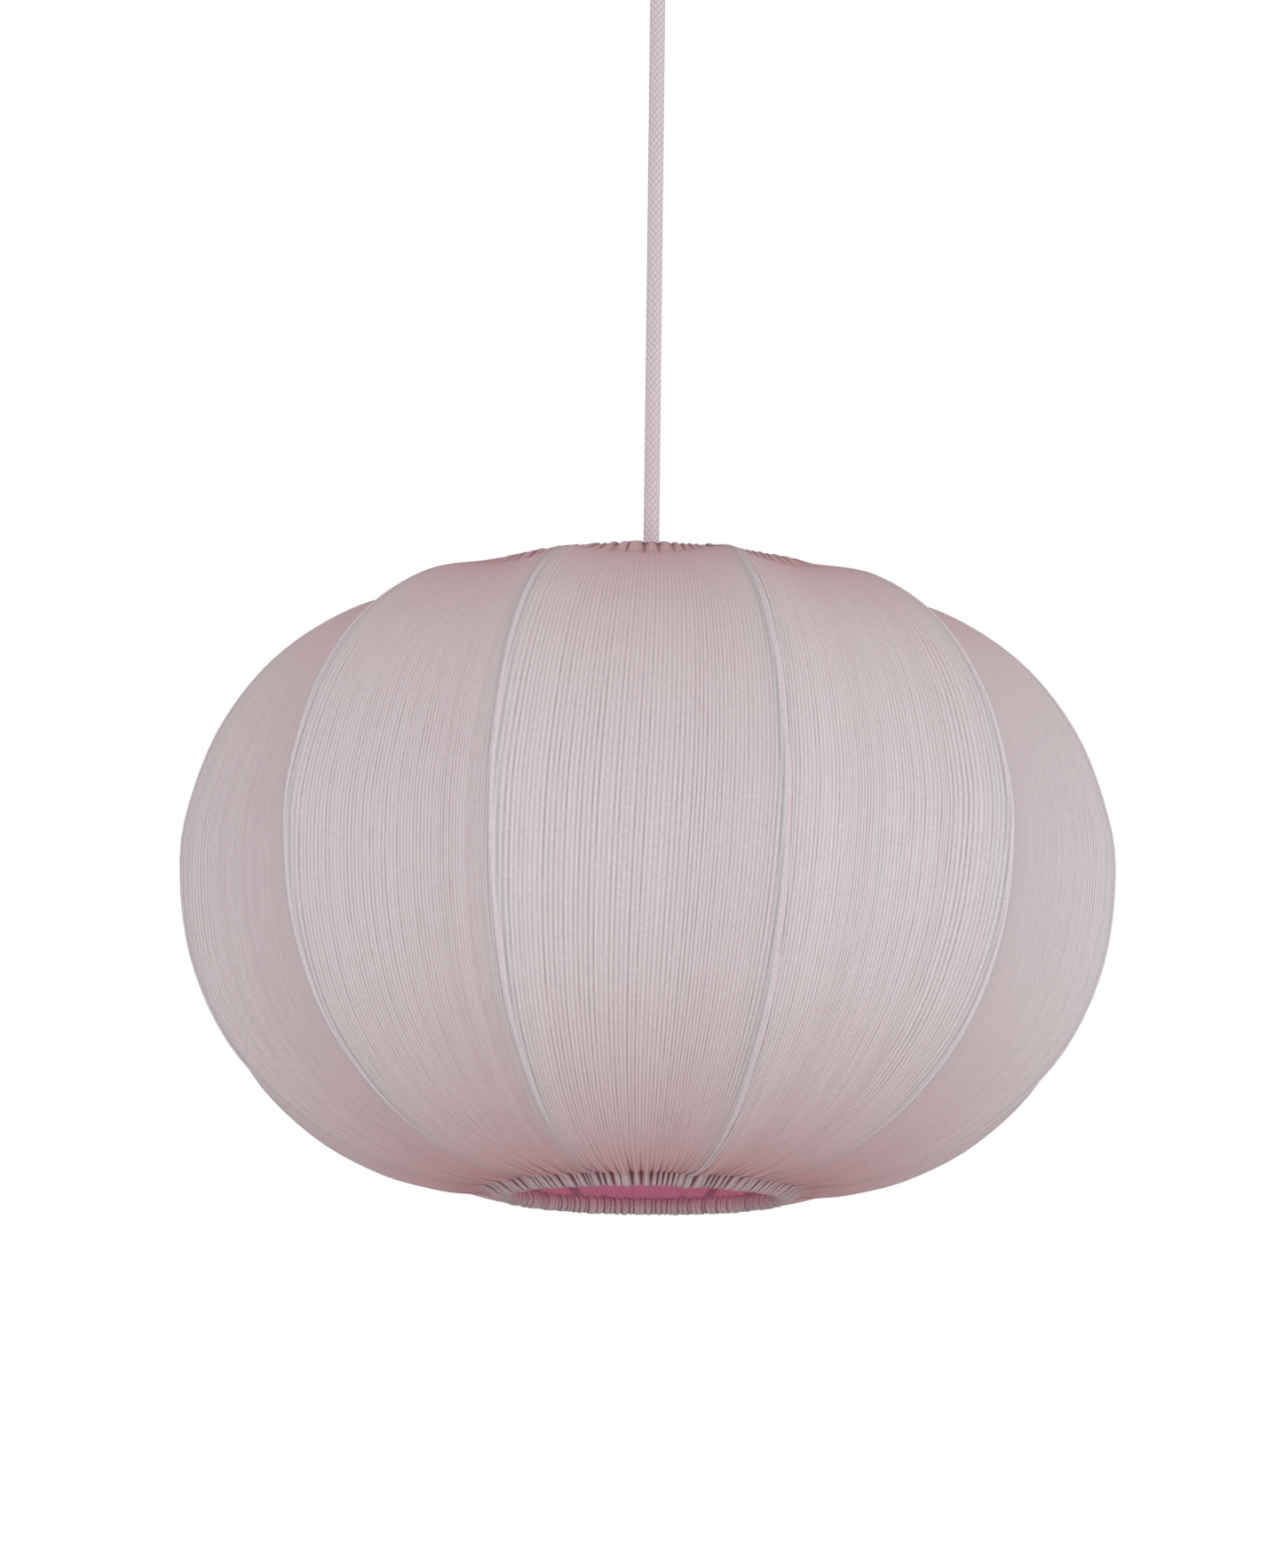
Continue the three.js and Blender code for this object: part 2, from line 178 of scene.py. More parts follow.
def mesh_object(name, points, faces, material):
    mesh = bpy.data.meshes.new(name)
    mesh.from_pydata(points, [], faces)
    mesh.update()
    if material:
        mesh.materials.append(material)
    mesh.shade_smooth()
    piece = bpy.data.objects.new(name, mesh)
    bpy.context.scene.collection.objects.link(piece)
    return piece


def store(piece, name, values):
    """Keeps one number for each of a mesh's points, for its material to read."""
    layer = piece.data.attributes.new(name, "FLOAT", "POINT")
    layer.data.foreach_set("value", np.asarray(values, np.float32).ravel())


def grid_faces(rows, columns, close_rows=False, close_columns=False):
    """Quads that join a grid of points, which may close on itself either way."""
    a = np.arange(rows if close_rows else rows - 1)[:, None]
    b = np.arange(columns if close_columns else columns - 1)[None, :]
    a2 = (a + 1) % rows
    b2 = (b + 1) % columns
    corners = [a * columns + b, a * columns + b2, a2 * columns + b2, a2 * columns + b]
    return np.stack([c.ravel() for c in np.broadcast_arrays(*corners)], axis=1).tolist()


def end_faces(rings, sides):
    """The two flat ends of a tube made of rings of points."""
    return [list(range(sides)), [(rings - 1) * sides + i for i in range(sides)]]


def turned_out(piece):
    """Joins doubled points and turns a closed piece's faces outward."""
    bm = bmesh.new()
    bm.from_mesh(piece.data)
    bmesh.ops.remove_doubles(bm, verts=bm.verts, dist=0.002 * MM)
    bmesh.ops.recalc_face_normals(bm, faces=bm.faces)
    bm.to_mesh(piece.data)
    bm.free()
    piece.data.shade_smooth()
    return piece


def weighted(piece):
    """Makes flat faces look flat between their rounded edges."""
    modifier = piece.modifiers.new("flat_faces", "WEIGHTED_NORMAL")
    modifier.weight = 100
    return piece


def tube_points(path, radius, sides, relief=None):
    """Rings of points round a path. relief(angle, distance) is added to the radius."""
    path = np.asarray(path, float)
    ahead = headings(path)
    side = np.cross(ahead[0], (0.31, 0.95, 0.05))
    angles = np.arange(sides) * 2 * math.pi / sides
    run = np.append(0, np.linalg.norm(np.diff(path, axis=0), axis=1).cumsum())
    rings = []
    for centre, forward, distance in zip(path, ahead, run):
        side = side - forward * (side @ forward)
        side /= np.linalg.norm(side)
        up = np.cross(forward, side)
        r = radius + (relief(angles, distance) if relief else 0 * angles)
        rings.append(centre + r[:, None] * (np.cos(angles)[:, None] * side + np.sin(angles)[:, None] * up))
    return np.array(rings)


def tube(name, path, radius, material, sides=14, relief=None, closed=False):
    """A round wire or cable along a path, with flat ends, or closed into a ring."""
    rings = tube_points(path, radius, sides, relief)
    count = len(rings)
    faces = grid_faces(count, sides, close_rows=closed, close_columns=True)
    if not closed:
        faces += end_faces(count, sides)
    return turned_out(mesh_object(name, rings.reshape(-1, 3), faces, material))


def rounded(profile, radius):
    """A closed profile with its corners rounded, as far as the sides beside them allow."""
    points = np.asarray(profile, float)
    out = []
    for before, corner, after in zip(np.roll(points, 1, axis=0), points, np.roll(points, -1, axis=0)):
        if corner[0] < 0.01 * MM:
            out.append(corner)
            continue
        to_before = before - corner
        to_after = after - corner
        near = np.linalg.norm(to_before)
        far = np.linalg.norm(to_after)
        back = min(radius, 0.45 * near, 0.45 * far)
        start = corner + to_before / near * back
        end = corner + to_after / far * back
        for t in np.linspace(0, 1, 4):
            out.append((1 - t)**2 * start + 2 * t * (1 - t) * corner + t**2 * end)
    return np.array(out)


def turned(name, profile, material, edge=0.3 * MM, segments=72, relief=None):
    """A solid of revolution about Z. The profile is a closed loop of radius and height in metres."""
    loop = rounded(profile, edge)
    angles = np.arange(segments) * 2 * math.pi / segments
    points = []
    for angle in angles:
        r = loop[:, 0] + (relief(angle, loop) if relief else 0)
        points.append(polar(np.full(len(loop), angle), r, loop[:, 1]))
    faces = grid_faces(segments, len(loop), close_rows=True, close_columns=True)
    return weighted(turned_out(mesh_object(name, np.vstack(points), faces, material)))


def refined(node, name, material, edge=0.3 * MM):
    """A CAD node's shape with its edges rounded, for pieces with flat faces."""
    piece = bpy.data.objects.new(name, frame["nodes"][node].data.copy())
    bpy.context.scene.collection.objects.link(piece)
    piece.data.materials.clear()
    piece.data.materials.append(material)
    bm = bmesh.new()
    bm.from_mesh(piece.data)
    bmesh.ops.remove_doubles(bm, verts=bm.verts, dist=0.01 * MM)
    bmesh.ops.dissolve_limit(bm, angle_limit=math.radians(1), verts=bm.verts, edges=bm.edges)
    bmesh.ops.recalc_face_normals(bm, faces=bm.faces)
    bm.to_mesh(piece.data)
    bm.free()
    bevel = piece.modifiers.new("soft_edges", "BEVEL")
    bevel.width = edge
    bevel.segments = 2
    bevel.limit_method = "ANGLE"
    bevel.angle_limit = math.radians(35)
    bevel.harden_normals = True
    piece.data.shade_smooth()
    return piece


def place(piece, node):
    """Puts a finished piece in the place of a CAD node, on its body."""
    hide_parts(node)
    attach(piece, frame["nodes"][node]["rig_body"])
    return piece


def cut(piece, tool):
    """Takes the shape of a tool out of a piece."""
    modifier = piece.modifiers.new("cut", "BOOLEAN")
    modifier.operation = "DIFFERENCE"
    modifier.solver = "EXACT"
    modifier.object = tool
    bpy.context.view_layer.update()
    seen = piece.evaluated_get(bpy.context.evaluated_depsgraph_get())
    piece.data = bpy.data.meshes.new_from_object(seen)
    piece.modifiers.remove(modifier)
    bpy.data.objects.remove(tool)


def block(low, high):
    """A plain box, as a tool to cut with."""
    xs, ys, zs = zip(low, high)
    corners = [(x, y, z) for x in xs for y in ys for z in zs]
    faces = [(0, 1, 3, 2), (4, 6, 7, 5), (0, 4, 5, 1), (2, 3, 7, 6), (0, 2, 6, 4), (1, 5, 7, 3)]
    return mesh_object("cutter", corners, faces, None)


# ---- Materials ----------------------------------------------------------------------------------
class Graph:
    """A material's node tree, with short names for the nodes used here."""

    def __init__(self, name):
        self.material = bpy.data.materials.new(name)
        self.material.use_nodes = True
        self.tree = self.material.node_tree
        self.tree.nodes.clear()

    def node(self, kind, inputs=(), output=0, **settings):
        made = self.tree.nodes.new("ShaderNode" + kind)
        for key, value in settings.items():
            setattr(made, key, value)
        for key, value in dict(inputs).items():
            if isinstance(value, bpy.types.NodeSocket):
                self.tree.links.new(value, made.inputs[key])
            else:
                made.inputs[key].default_value = value
        return made.outputs[output]

    def math(self, operation, *values):
        return self.node("Math", dict(enumerate(values)), operation=operation)

    def smooth(self, value, low, high, out_low=0.0, out_high=1.0):
        inputs = {"Value": value, "From Min": low, "From Max": high, "To Min": out_low, "To Max": out_high}
        return self.node("MapRange", inputs, interpolation_type="SMOOTHSTEP")

    def point(self, x, y):
        return self.node("CombineXYZ", {0: x, 1: y})

    def noise(self, vector, scale=1.0, detail=2.0):
        return self.node("TexNoise", {"Vector": vector, "Scale": scale, "Detail": detail})

    def mix(self, factor, first, second):
        made = self.tree.nodes.new("ShaderNodeMix")
        made.data_type = "RGBA"
        for key, value in ((0, factor), (6, first), (7, second)):
            if isinstance(value, bpy.types.NodeSocket):
                self.tree.links.new(value, made.inputs[key])
            else:
                made.inputs[key].default_value = value if key == 0 else (*value, 1)
        return made.outputs[2]

    def attribute(self, name):
        return self.node("Attribute", output=2, attribute_name=name)

    def position(self):
        return self.node("TexCoord", output=3)

    def bump(self, height, distance, strength):
        return self.node("Bump", {"Height": height, "Distance": distance, "Strength": strength})

    def surface(self, shader):
        output = self.tree.nodes.new("ShaderNodeOutputMaterial")
        self.tree.links.new(shader, output.inputs["Surface"])
        return self.material


def lines_at(g, where, seed, low, high):
    """Lines at whole numbers of where, each of its own strength: 1 on a line, 0 beside it."""
    nearest = g.math("ROUND", where)
    off = g.math("ABSOLUTE", g.math("SUBTRACT", where, nearest))
    strength = g.node("TexWhiteNoise", {"Vector": g.point(nearest, seed)}, noise_dimensions="2D")
    line = g.smooth(off, low, high, 1.0, 0.0)
    return g.math("MULTIPLY", line, g.smooth(strength, 0.0, 1.0, 0.45, 1.0))


def cord_lines(g, cord_at, along):
    """The gaps and crests of the cords, as painted shade in the gaps and painted highlights on the crests:
    dark and bright one by one, coarse and pale every second one.
    """
    wander = g.noise(g.point(g.math("MULTIPLY", cord_at, 0.8), g.math("MULTIPLY", along, 5)))
    cords = g.math("ADD", cord_at, g.math("MULTIPLY", wander, 0.3))
    pairs = g.math("MULTIPLY", cords, 0.5)
    dark = lines_at(g, g.math("ADD", cords, 0.5), 3.0, 0.02, 0.2)
    bright = lines_at(g, cords, 8.0, 0.02, 0.24)
    coarse = lines_at(g, g.math("ADD", pairs, 0.5), 5.0, 0.02, 0.14)
    pale = lines_at(g, pairs, 9.0, 0.02, 0.17)
    return dark, bright, coarse, pale


def cover_masks(g, cord_at, along):
    """Where each kind of line or of cloth shows on the cover, from 0 to 1."""
    fold_at = g.attribute("fold_at")
    near = g.attribute("near")
    from_rib = g.attribute("from_rib")
    beside = g.attribute("beside")
    wrapped = g.attribute("wrapped")

    stretched = g.smooth(near, 25 * MM, 90 * MM)
    # A painted highlight along each rib's crest, where the wire shows pale through the cloth.
    on_rib = g.math("MULTIPLY", g.smooth(from_rib, 0.3 * MM, 1.3 * MM, 1.0, 0.0), stretched)
    # A painted shadow in a thin band just beside each rib's crest.
    off_fringe = g.math("ABSOLUTE", g.math("SUBTRACT", from_rib, 2.1 * MM))
    fringe = g.math("MULTIPLY", g.smooth(off_fringe, 0.2 * MM, 1.0 * MM, 1.0, 0.0), stretched)

    fade = g.noise(g.point(g.math("MULTIPLY", cord_at, 0.7), g.math("MULTIPLY", along, 60)), detail=3.0)
    fade = g.smooth(fade, 0.25, 0.65, 0.45, 1.0)
    fade = g.math("MULTIPLY", fade, g.smooth(along, 0.04, 0.19, 0.38, 1.0))
    calm = g.smooth(beside, 0.5, 1.0, 1.0, 0.9)
    shown = g.math("MULTIPLY", calm, g.math("SUBTRACT", 1.0, g.math("MULTIPLY", on_rib, 0.75)))
    shown = g.math("MULTIPLY", shown, fade)
    spread = g.math("MULTIPLY", g.smooth(near, 22 * MM, 60 * MM), shown)
    drawn_in = g.math("MULTIPLY", g.smooth(near, 20 * MM, 65 * MM, 1.0, 0.0), shown)
    drawn_in = g.math("MAXIMUM", drawn_in, wrapped)

    dark, bright, coarse, pale = cord_lines(g, cord_at, along)
    # Lines at the gathers' edges, which the cover paints as shade in the pleat gaps and creases.
    pleat = lines_at(g, fold_at, 6.0, 0.03, 0.15)
    crease = lines_at(g, g.math("MULTIPLY", fold_at, 2.0), 11.0, 0.04, 0.3)
    return {
        "gathered": g.attribute("gathered"),
        # painted shade beside the ribs: greyer, with less pink light through the cloth
        "plain": g.math("MULTIPLY", beside, stretched),
        "on_rib": on_rib,
        "fringe": fringe,
        "bright": g.math("MULTIPLY", bright, spread),
        "dark": g.math("MULTIPLY", dark, spread),
        "pale": g.math("MULTIPLY", pale, drawn_in),
        "coarse": g.math("MULTIPLY", coarse, drawn_in),
        "wrapped": wrapped,
        "pleat": g.math("MULTIPLY", pleat, g.smooth(near, 3 * MM, 32 * MM, 1.0, 0.0)),
        "crease": g.math("MULTIPLY", crease, wrapped),
        "cavity": g.attribute("cavity"),
    }


# Layers of the cover's colour, from the lowest up: where, how strongly, and the colour there.
COVER_LAYERS = (
    # darker and pinker towards the rings, where the cloth is gathered: partly crowded cloth, partly painted
    # shade and painted pink light from inside
    ("gathered", 1.0, (0.53, 0.395, 0.35)),
    # painted shade beside each rib: greyer cloth with less pink light through it
    ("plain", 0.3, (0.64, 0.74, 0.715)),
    # painted highlight along each rib's crest
    ("on_rib", 0.75, (0.96, 0.92, 0.97)),
    # painted shadow just beside each rib's crest
    ("fringe", 0.35, (0.44, 0.40, 0.42)),
    # painted highlights on the cord crests and painted shade in the gaps between cords, in the next four rows
    ("bright", 0.95, (0.92, 1.0, 1.0)),
    ("dark", 0.75, (0.35, 0.345, 0.345)),
    ("pale", 0.7, (0.85, 0.82, 0.80)),
    ("coarse", 0.9, (0.30, 0.20, 0.20)),
    # pinker cloth round the bottom ring: partly the doubled cloth, partly painted pink light from inside the
    # shade
    ("wrapped", 0.6, (0.86, 0.60, 0.66)),
    # painted shade in the gaps between gathers near the rings, in the creases round the bottom ring, and
    # deepest in the cavities, in the next three rows
    ("pleat", 0.75, (0.17, 0.06, 0.07)),
    ("crease", 0.7, (0.42, 0.10, 0.19)),
    ("cavity", 0.95, (0.15, 0.015, 0.04)),
    ("weave", 0.35, (0.38, 0.37, 0.37)),
    ("slub", 0.12, (0.36, 0.34, 0.34)),
)
# How much each kind of cloth darkens the light that comes through it, as painted shade beside the ribs, in
# the pleat gaps and in the cavities, and how high it stands.
COVER_SHADE = (("plain", 0.12), ("cavity", 1.0), ("pleat", 0.8))
COVER_RELIEF = (("bright", 1.0), ("pale", 1.0), ("dark", -1.2), ("coarse", -1.0), ("pleat", -2.0))


def cover_material():
    """Thin cotton woven with raised cords: paler where it is stretched, darker and pinker where it is
    gathered, partly from the crowded cloth and partly as painted shade and painted pink light from inside.
    Painted shade also lies in the cord gaps, pleats and cavities and beside the ribs, and painted highlights
    lie on the cord and rib crests.
    """
    g = Graph("corded_cotton")
    cord_at = g.attribute("cord_at")
    along = g.attribute("along")
    weave = g.noise(g.point(g.math("MULTIPLY", cord_at, 4.5), g.math("MULTIPLY", along, 1700)), detail=1.0)
    slub = g.noise(g.point(g.math("MULTIPLY", cord_at, 1.1), g.math("MULTIPLY", along, 520)))
    mottle = g.noise(g.point(g.math("MULTIPLY", cord_at, 0.3), g.math("MULTIPLY", along, 16)), detail=3.0)
    masks = cover_masks(g, cord_at, along)
    masks["weave"] = g.smooth(weave, 0.3, 0.7, 1.0, 0.0)
    masks["slub"] = g.smooth(slub, 0.35, 0.65, 1.0, 0.0)

    cloth = g.mix(g.smooth(mottle, 0.3, 0.7), (0.68, 0.815, 0.80), (0.66, 0.835, 0.805))
    for name, strength, colour in COVER_LAYERS:
        cloth = g.mix(g.math("MULTIPLY", masks[name], strength), cloth, colour)
    # Painted shade in the light through the cloth: darker in the cord gaps, pleats and cavities, and beside
    # the ribs.
    shade = g.math("ADD", g.math("MULTIPLY", masks["dark"], 0.5), g.math("MULTIPLY", masks["coarse"], 0.6))
    for name, strength in COVER_SHADE:
        shade = g.math("MAXIMUM", shade, g.math("MULTIPLY", masks[name], strength))
    glow = g.mix(g.math("MINIMUM", shade, 1.0), (0.95, 0.22, 0.41), (0.30, 0.04, 0.09))
    relief = g.math("MULTIPLY", weave, 0.2)
    for name, height in COVER_RELIEF:
        relief = g.math("ADD", relief, g.math("MULTIPLY", masks[name], height))

    normal = g.bump(relief, 0.17 * MM, 0.8)
    front = g.node("BsdfPrincipled", {
        "Base Color": cloth, "Roughness": 0.9, "Specular IOR Level": 0.15, "Sheen Weight": 0.05,
        "Sheen Roughness": 0.5, "Normal": normal,
    })
    through = g.node("BsdfTranslucent", {"Color": glow, "Normal": normal})
    return g.surface(g.node("MixShader", {0: 0.38, 1: front, 2: through}))


def cable_material():
    """Braided textile: pale lilac yarns, with painted shade, darker and pinker, in the gaps between them."""
    g = Graph("braided_textile")
    braid_gap_shade = g.attribute("braid_gap_shade")
    fibre = g.noise(g.node("Mapping", {"Vector": g.position(), "Scale": (1, 1, 0.35)}), 9000.0, 1.0)
    yarn = g.mix(g.smooth(fibre, 0.3, 0.7), (0.53, 0.49, 0.515), (0.65, 0.615, 0.635))
    # Painted shade, darker and pinker, in the gaps between the braid's yarns.
    cloth = g.mix(g.math("MULTIPLY", braid_gap_shade, 0.85), yarn, (0.36, 0.22, 0.245))
    front = g.node("BsdfPrincipled", {
        "Base Color": cloth, "Roughness": 0.85, "Specular IOR Level": 0.2, "Sheen Weight": 0.25,
        "Sheen Roughness": 0.45, "Normal": g.bump(fibre, 0.06 * MM, 0.6),
    })
    return g.surface(front)


def moulded_material(name, colour, roughness, grain=900.0):
    """Moulded plastic or glaze: a faint skin texture, and slightly uneven gloss and tone."""
    g = Graph(name)
    place_at = g.position()
    cloud = g.noise(place_at, 45.0, 3.0)
    skin = g.noise(place_at, grain, 2.0)
    darker = tuple(0.93 * c for c in colour)
    tone = g.mix(g.smooth(cloud, 0.3, 0.7), colour, darker)
    gloss = g.math("ADD", roughness - 0.05, g.math("MULTIPLY", cloud, 0.12))
    front = g.node("BsdfPrincipled", {
        "Base Color": tone, "Roughness": gloss, "Normal": g.bump(skin, 0.02 * MM, 0.35),
    })
    return g.surface(front)


def metal_material(name, colour, roughness, dull=(0.3, 0.29, 0.28)):
    """Plated metal: fine scratches, with duller patches."""
    g = Graph(name)
    place_at = g.position()
    scratch = g.noise(g.node("Mapping", {"Vector": place_at, "Scale": (1, 1, 9)}), 700.0, 3.0)
    patch = g.noise(place_at, 110.0, 4.0)
    tone = g.mix(g.smooth(patch, 0.5, 0.75, 0.0, 0.55), colour, dull)
    worn = g.smooth(patch, 0.4, 0.8, roughness, roughness + 0.25)
    gloss = g.math("ADD", worn, g.math("MULTIPLY", scratch, 0.08))
    front = g.node("BsdfPrincipled", {
        "Base Color": tone, "Metallic": 1.0, "Roughness": gloss, "Normal": g.bump(scratch, 0.015 * MM, 0.4),
    })
    return g.surface(front)


def opal_material():
    """Opal glass, which glows through where light falls behind it."""
    g = Graph("opal_glass")
    cloud = g.noise(g.position(), 60.0, 2.0)
    tone = g.mix(g.smooth(cloud, 0.3, 0.7), (0.86, 0.85, 0.82), (0.83, 0.82, 0.79))
    front = g.node("BsdfPrincipled", {"Base Color": tone, "Roughness": 0.28, "Coat Weight": 0.3})
    through = g.node("BsdfTranslucent", {"Color": (0.85, 0.84, 0.80, 1)})
    return g.surface(g.node("MixShader", {0: 0.25, 1: front, 2: through}))


COTTON = cover_material()
BRAID = cable_material()
WIRE = metal_material("zinc_wire", (0.56, 0.55, 0.55), 0.38)
CUP_PLASTIC = moulded_material("cup_plastic", (0.78, 0.69, 0.70), 0.42)
HOLDER_PLASTIC = moulded_material("holder_plastic", (0.80, 0.79, 0.76), 0.38)
TERMINAL_PLASTIC = moulded_material("terminal_plastic", (0.74, 0.73, 0.69), 0.5)
ZINC = metal_material("zinc_plated_steel", (0.62, 0.62, 0.64), 0.32)
BRASS = metal_material("contact_brass", (0.72, 0.52, 0.25), 0.3, dull=(0.34, 0.24, 0.13))
PORCELAIN = moulded_material("porcelain", (0.84, 0.82, 0.77), 0.25, grain=300.0)
OPAL = opal_material()
BULB_PLASTIC = moulded_material("bulb_plastic", (0.82, 0.82, 0.80), 0.35)
CAP_METAL = metal_material("bulb_cap_nickel", (0.66, 0.65, 0.62), 0.25)
INSULATOR = moulded_material("bulb_insulator", (0.02, 0.02, 0.022), 0.3)
COTTON_THREAD = moulded_material("sewing_thread", (0.68, 0.54, 0.57), 0.8)

# ---- Camera -------------------------------------------------------------------------------------
CAMERA_PLACE = Vector((-0.003, -1.4729, -0.7939))
CAMERA_PITCH = math.radians(12.66)
CAMERA_ROLL = math.radians(0.7)
CAMERA_LENS = 80.8


def make_camera():
    camera = bpy.data.objects.new("camera", bpy.data.cameras.new("camera"))
    camera.data.sensor_width = 36
    camera.data.lens = CAMERA_LENS
    camera.data.clip_end = 200
    upright = Matrix.Rotation(math.pi / 2 + CAMERA_PITCH, 4, "X")
    camera.matrix_world = Matrix.Translation(CAMERA_PLACE) @ upright @ Matrix.Rotation(CAMERA_ROLL, 4, "Z")
    bpy.context.scene.collection.objects.link(camera)
    bpy.context.scene.camera = camera


# ---- Cable --------------------------------------------------------------------------------------
BRAID_PITCH = 1.65 * MM
BRAID_YARNS = 8                  # pairs of yarns crossing round the cable
BRAID_RELIEF = 0.32 * MM


def braid(angles, distance):
    """Where a point of the braid lies between its yarns: 1 on top of a yarn, 0 in a gap."""
    turn = BRAID_YARNS * angles / (2 * math.pi)
    climb = distance / BRAID_PITCH / 2
    a = turn + climb
    b = turn - climb
    a_on_top = (np.floor(a) + np.floor(b)) % 2 < 1
    across = np.where(a_on_top, a % 1, b % 1)
    lengthwise = np.where(a_on_top, b % 1, a % 1)
    hump = np.sqrt(np.clip(1 - (2 * across - 1)**2, 0, 1))
    return hump * (1 - 0.45 * (2 * lengthwise - 1)**2)


def make_cable():
    low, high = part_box("cord")
    rings = 800
    path = np.zeros((rings, 3))
    path[:, 2] = np.linspace(low.z, high.z, rings)
    sides = 48
    middle = 0.75                # height in the braid that lies at the cable's radius
    points = tube_points(path, CORD_R, sides, lambda a, d: (braid(a, d) - middle) * BRAID_RELIEF)
    faces = grid_faces(rings, sides, close_columns=True) + end_faces(rings, sides)
    cable = mesh_object("textile_cable", points.reshape(-1, 3), faces, BRAID)
    angles = np.arange(sides) * 2 * math.pi / sides
    # How deep each point lies in a gap of the braid, where the cable paints shade.
    store(cable, "braid_gap_shade", [1 - braid(angles, z - low.z) for z in path[:, 2]])
    place(turned_out(cable), "cord")
    eye = place(refined("cord_hanger", "cable_hanger", HOLDER_PLASTIC, edge=0.9 * MM), "cord_hanger")


# ---- Cloth cover --------------------------------------------------------------------------------
random = np.random.default_rng(11)


def graded(length, first, last, growth=0.105, most=8 * MM):
    """Distances from 0 to length, in steps that start small, grow, and end small."""
    at = [0.0]
    while at[-1] < length:
        step = min(most, first + growth * at[-1], last + growth * max(length - at[-1], 0))
        at.append(at[-1] + step)
    return np.array(at) * length / at[-1]


def round_ring(ring, degrees):
    """Points of the cloth round a ring wire, by angle from outward, anticlockwise."""
    turn = np.radians(degrees)
    return np.stack([ring[0] + HEM_R * np.cos(turn), ring[1] + HEM_R * np.sin(turn)], axis=1)


def cloth_rows():
    """The cover's line over a rib, from the top hem to the bottom hem, and what the cloth does there."""
    outline = np.array(OUTLINE) * MM + (0, EQUATOR_Z)
    length = line_length(smooth_line(outline, count=600))
    distances = graded(length, 0.9 * MM, 0.7 * MM)
    over_rib = smooth_line(outline, distances)
    over_rib -= outward_of(over_rib) * CLOTH_DEPTH
    top = round_ring(TOP_RING, [205, 185, 165, 145, 125, 107, 90, 72, 54, 36])
    bottom = round_ring(BOTTOM_RING, [-48, -66, -84, -102, -120, -138, -156, -174, -188])
    lip = BOTTOM_RING + np.array([(-2.5, 1.9), (-1.4, 3.3), (0.6, 4.3)]) * MM
    band = np.linspace(over_rib[-1], bottom[0], 6)[1:-1]
    line = np.vstack([top, over_rib, band, bottom, lip])
    run = np.append(0, np.linalg.norm(np.diff(line, axis=0), axis=1).cumsum())
    first = len(top)
    last = first + len(over_rib) - 1
    from_top = np.clip(run - run[first], 0, None)
    from_bottom = np.clip(run[last] - run, 0, None)
    beyond = np.clip(run - run[last], 0, None)
    nearest = np.minimum(from_top, from_bottom)
    index = np.arange(len(line))
    return {
        "line": line,
        "run": run,
        "outward": outward_of(line),
        "share": smooth_step(nearest, -1 * MM, 16 * MM) * (nearest > 0),
        "at_bottom": smooth_step(run, run[first] + 0.1 * length, run[first] + 0.9 * length),
        "free": smooth_step(nearest, 22 * MM, 75 * MM),
        "from_top": from_top,
        "from_bottom": from_bottom,
        "beyond": beyond,
        "hem": (index < first) | (index > last),
    }


def fold_depths(rows):
    """Height of the gathers at each row: deep at the rings, almost nothing at the equator."""
    above = rows["from_top"]
    top = 0.75 * np.exp(-above / (5 * MM)) + 0.25 * np.exp(-above / (26 * MM))
    low = rows["from_bottom"]
    bottom = 1.15 * np.exp(-low / (5 * MM)) + 0.45 * np.exp(-low / (28 * MM))
    beyond = rows["beyond"]
    bottom -= 0.95 * smooth_step(beyond, 4 * MM, 9 * MM)
    ledge = 1.0 * np.exp(-(((low + beyond) / (1.7 * MM))**2))
    return (0.1 + top * (1 - rows["at_bottom"]) + (bottom + ledge) * rows["at_bottom"]) * MM


def gather_edges():
    """Where each gather starts, in gathers, with uneven widths that add up evenly in each panel."""
    widths = np.clip(random.lognormal(0, 0.38, (len(RIB_NODES), GATHERS_PER_PANEL)), 0.5, 1.9)
    widths *= GATHERS_PER_PANEL / widths.sum(axis=1, keepdims=True)
    edges = np.append(0, widths.ravel().cumsum())
    around = np.arange(-GATHERS, 2 * GATHERS + 1)
    return around, edges[around % GATHERS] + GATHERS * (around // GATHERS)


def columns_at(rows, around, edges):
    """Where each column of the cover lies at each row, in gathers round the lamp from rib_01."""
    fold = (np.arange(GATHERS)[:, None] + GATHER_COLUMNS).ravel()
    at_top = np.append(np.interp(fold, around, edges), GATHERS)
    at_bottom = np.append(np.interp(fold + TWIST, around, edges) - TWIST, 0)
    at_bottom[-1] = at_bottom[0] + GATHERS
    per_panel = GATHERS_PER_PANEL * len(GATHER_COLUMNS)
    panel, step = np.divmod(np.arange(len(fold) + 1), per_panel)
    even = step / per_panel
    in_panel = even - CROWDING / (2 * math.pi) * np.sin(2 * math.pi * even)
    spread = (panel + in_panel) * GATHERS_PER_PANEL
    end = np.where(rows["at_bottom"][:, None] < 0.5, at_top, at_bottom)
    free = rows["free"][:, None]
    return end * (1 - free) + spread * free


